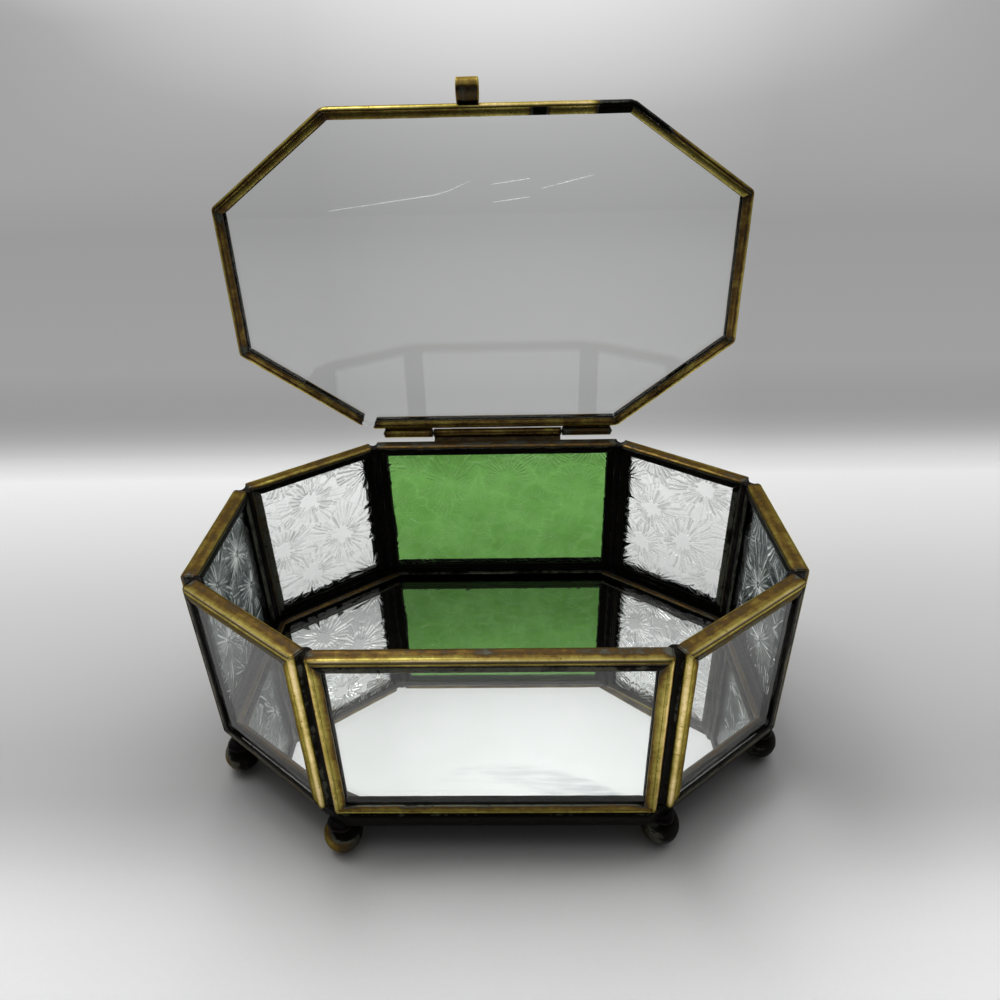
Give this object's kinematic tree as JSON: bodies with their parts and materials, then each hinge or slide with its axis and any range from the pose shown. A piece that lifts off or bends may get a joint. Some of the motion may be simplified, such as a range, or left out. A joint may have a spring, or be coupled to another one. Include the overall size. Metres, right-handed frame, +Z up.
{
  "type": "glass casket box",
  "caption": "Eight-sided glass casket box in brass came on ball feet, with a mirror floor and a clear lid that turns on a wire hinge and stands open.",
  "frame": {"origin": "on the ground under the middle of the box, between its eight ball feet", "axes": "+X along the box to the right as seen from the front, +Y towards the hinge, +Z up"},
  "size_m": [0.1641, 0.1129, 0.1786],
  "materials": {
    "brass": "antique brass came, brown tarnish along the flanges, polished on the ridges",
    "dark_brass": "brass blackened with patina",
    "ball_brass": "turned brass ball, tarnished",
    "hinge_brass": "thin brass tube and strip, tarnished",
    "solder": "soft solder with black patina",
    "clear_glass": "clear float glass, polished",
    "patterned_glass": "clear rolled glass with a starburst pattern on one face",
    "green_glass": "green rolled glass with a soft starburst pattern",
    "mirror": "silvered glass, grey paint on the back"
  },
  "bodies": {
    "box": {"base_frame": "dark_brass", "base_mirror": "mirror", "front_frame": "brass", "front_right_frame": "brass", "right_frame": "brass", "back_right_frame": "brass", "back_frame": "brass", "back_left_frame": "brass", "left_frame": "brass", "front_left_frame": "brass", "front_glass": "clear_glass", "front_right_glass": "clear_glass", "right_glass": "patterned_glass", "back_right_glass": "patterned_glass", "back_glass": "green_glass", "back_left_glass": "patterned_glass", "left_glass": "patterned_glass", "front_left_glass": "clear_glass", "front_left_seam": "solder", "front_right_seam": "solder", "right_front_seam": "solder", "right_back_seam": "solder", "back_right_seam": "solder", "back_left_seam": "solder", "left_back_seam": "solder", "left_front_seam": "solder", "front_left_foot": "ball_brass", "front_right_foot": "ball_brass", "right_front_foot": "ball_brass", "right_back_foot": "ball_brass", "back_right_foot": "ball_brass", "back_left_foot": "ball_brass", "left_back_foot": "ball_brass", "left_front_foot": "ball_brass", "foot_solder": "solder", "hinge_middle_tube": "hinge_brass", "hinge_wire": "dark_brass", "hinge_solder": "solder"},
    "lid": {"lid_frame": "brass", "lid_glass": "clear_glass", "hinge_left_tube": "hinge_brass", "hinge_right_tube": "hinge_brass", "lid_hinge_solder": "solder", "lift_tab": "hinge_brass", "tab_solder": "solder"}
  },
  "joints": [
    {"name": "lid_hinge", "type": "hinge", "parent": "box", "child": "lid", "pos_m": [0, 0.0526, 0.0691], "axis": [1, 0, 0], "range_deg": [0, 91.4]}
  ]
}
